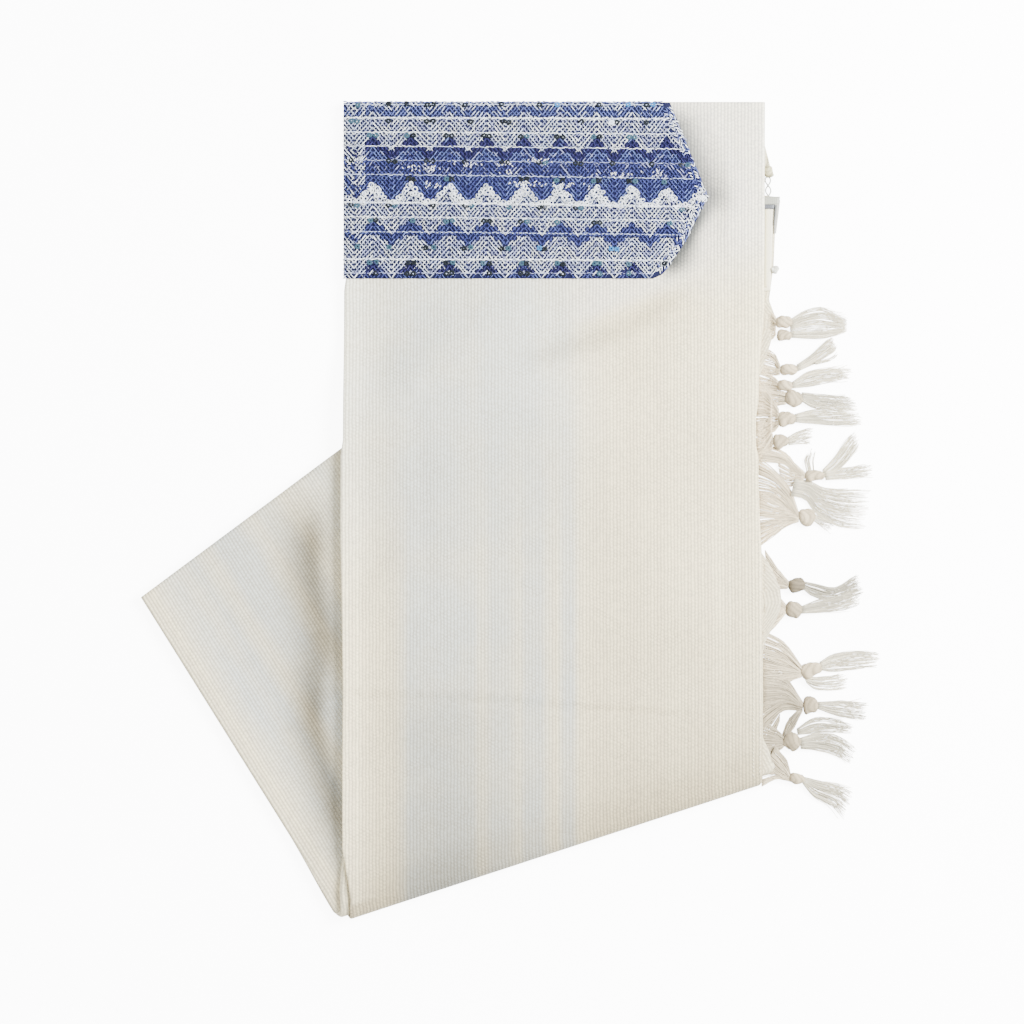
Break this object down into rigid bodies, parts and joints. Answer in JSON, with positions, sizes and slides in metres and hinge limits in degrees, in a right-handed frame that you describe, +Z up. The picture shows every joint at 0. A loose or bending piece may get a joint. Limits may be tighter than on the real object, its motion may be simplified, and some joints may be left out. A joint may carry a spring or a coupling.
{
  "type": "folded tallit prayer shawl",
  "caption": "Ribbed cream prayer shawl folded flat into a long strip, its tail turned under as a flap, with a blue and white knitted neckband and knotted fringe.",
  "frame": {"origin": "on the surface it lies on, under the centre of its bounding box", "axes": "+Y along the folded strip towards its neck edge, +X towards the fringed edge, +Z up out of the neckband's face"},
  "size_m": [0.4827, 0.5319, 0.0159],
  "materials": {
    "shawl_cloth": "matt ribbed weave",
    "neckband_knit": "soft knit with boucle and sequins",
    "corner_facing": "satin facing",
    "fringe_thread": "soft twisted thread"
  },
  "bodies": {
    "root": {"front_panel": "shawl_cloth", "front_layers": "shawl_cloth", "flap_panel": "shawl_cloth", "flap_layers": "shawl_cloth", "under_panel": "shawl_cloth", "fringed_end_upper": "shawl_cloth", "fringed_end_lower": "shawl_cloth", "neckband": "neckband_knit", "corner_patch": "corner_facing", "corner_loop": "fringe_thread", "tassel_01": "fringe_thread", "tassel_02": "fringe_thread", "tassel_03": "fringe_thread", "tassel_04": "fringe_thread", "tassel_05": "fringe_thread", "tassel_06": "fringe_thread", "tassel_07": "fringe_thread", "tassel_08": "fringe_thread", "tassel_09": "fringe_thread", "tassel_10": "fringe_thread", "tassel_11": "fringe_thread", "tassel_12": "fringe_thread", "tassel_13": "fringe_thread", "tassel_14": "fringe_thread", "tassel_07_fork": "fringe_thread", "tassel_11_fork": "fringe_thread", "tassel_13_fork": "fringe_thread"}
  },
  "joints": []
}
